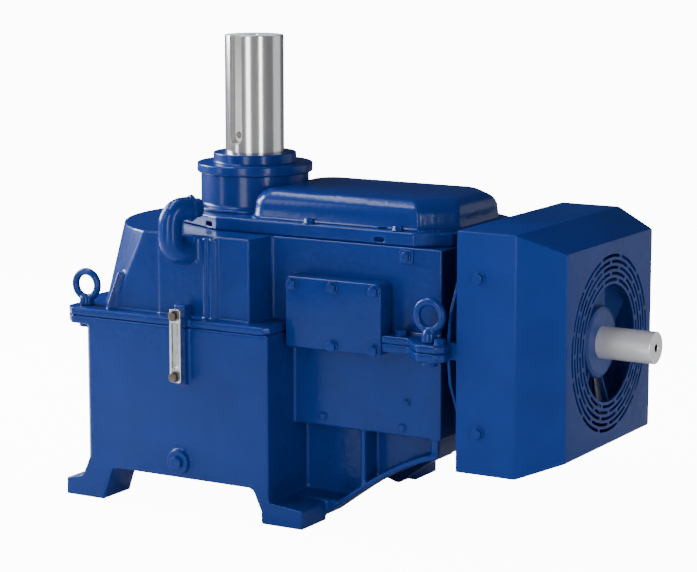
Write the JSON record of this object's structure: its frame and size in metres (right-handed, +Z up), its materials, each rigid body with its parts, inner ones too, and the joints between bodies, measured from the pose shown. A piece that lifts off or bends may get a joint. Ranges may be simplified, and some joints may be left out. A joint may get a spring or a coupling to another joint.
{
  "type": "right-angle industrial gearbox",
  "caption": "Right-angle bevel and spur reduction gearbox: ribbed split casing on feet, vertical output shaft, horizontal input shaft with fan and slotted cowl.",
  "frame": {"origin": "centre of the bounding box on the floor plane, under the casing", "axes": "+Z up along the output shaft, +X along the input shaft towards its free end, -Y the front side that carries the oil gauge and the side cover"},
  "size_m": [1.2626, 0.618, 0.973],
  "materials": {
    "casting_paint": "glossy blue enamel over cast iron",
    "sheet_paint": "satin-gloss blue enamel over sheet steel",
    "fan_paint": "dark blue enamel",
    "shaft_steel": "ground and polished bright steel",
    "gear_steel": "oiled ground steel",
    "bearing_steel": "ground bearing steel",
    "gauge_metal": "bright machined aluminium",
    "gauge_glass": "clear tube",
    "dark_fastener": "blackened steel",
    "seal_rubber": "matt black rubber"
  },
  "bodies": {
    "housing": {"air_guide_plate": "sheet_paint", "breather_pipe": "casting_paint", "breather_union": "casting_paint", "cowl_bolt_front_lower": "sheet_paint", "cowl_bolt_front_upper": "sheet_paint", "cowl_bolt_rear_lower": "sheet_paint", "cowl_bolt_rear_upper": "sheet_paint", "cowl_bracket_front": "sheet_paint", "cowl_bracket_rear": "sheet_paint", "drain_plug": "casting_paint", "fan_cowl": "sheet_paint", "flange_bolt_front": "casting_paint", "flange_bolt_rear": "casting_paint", "input_bearing_cover": "casting_paint", "input_inner_bearing_outer_race": "bearing_steel", "input_outer_bearing_outer_race": "bearing_steel", "inspection_cover": "casting_paint", "inspection_cover_bolt_front_left": "casting_paint", "inspection_cover_bolt_front_right": "casting_paint", "inspection_cover_bolt_rear_left": "casting_paint", "inspection_cover_bolt_rear_right": "casting_paint", "intermediate_lower_bearing_outer_race": "bearing_steel", "intermediate_upper_bearing_outer_race": "bearing_steel", "lifting_eyebolt_front_left": "casting_paint", "lifting_eyebolt_front_right": "casting_paint", "lifting_eyebolt_rear_left": "casting_paint", "lifting_eyebolt_rear_right": "casting_paint", "lower_casing": "casting_paint", "lug_bolt_front": "casting_paint", "lug_bolt_rear": "casting_paint", "oil_gauge_bolt_lower": "dark_fastener", "oil_gauge_bolt_upper": "dark_fastener", "oil_gauge_frame": "gauge_metal", "oil_gauge_tube": "gauge_glass", "output_lower_bearing_outer_race": "bearing_steel", "output_seal_cover": "casting_paint", "output_shaft_seal": "seal_rubber", "output_tower": "casting_paint", "output_upper_bearing_outer_race": "bearing_steel", "side_cover": "casting_paint", "side_cover_bolt_lower_middle": "casting_paint", "side_cover_bolt_lower_right": "casting_paint", "side_cover_bolt_upper_left": "casting_paint", "side_cover_bolt_upper_middle": "casting_paint", "side_cover_bolt_upper_right": "casting_paint", "top_cover_plate": "casting_paint", "upper_casing": "casting_paint"},
    "output": {"output_shaft": "shaft_steel", "output_gear": "gear_steel", "output_upper_bearing_roller_set": "bearing_steel", "output_lower_bearing_roller_set": "bearing_steel"},
    "intermediate": {"intermediate_pinion_shaft": "shaft_steel", "bevel_gear": "gear_steel", "intermediate_upper_bearing_roller_set": "bearing_steel", "intermediate_lower_bearing_roller_set": "bearing_steel"},
    "input": {"input_pinion_shaft": "shaft_steel", "cooling_fan": "fan_paint", "input_inner_bearing_roller_set": "bearing_steel", "input_outer_bearing_roller_set": "bearing_steel"}
  },
  "joints": [
    {"name": "output_spin", "type": "hinge", "parent": "housing", "child": "output", "pos_m": [-0.29925, 0.02235, 0.7], "axis": [0, 0, 1], "continuous": true},
    {"name": "intermediate_spin", "type": "hinge", "parent": "housing", "child": "intermediate", "pos_m": [-0.05125, 0.02235, 0.225], "axis": [0, 0, 1], "continuous": true},
    {"name": "input_spin", "type": "hinge", "parent": "housing", "child": "input", "pos_m": [0.30075, 0.02235, 0.3906], "axis": [1, 0, 0], "continuous": true}
  ],
  "couplings": [
    {"joint": "intermediate_spin", "follows": "output_spin", "ratio": -4.1667},
    {"joint": "input_spin", "follows": "output_spin", "ratio": -12.5}
  ]
}
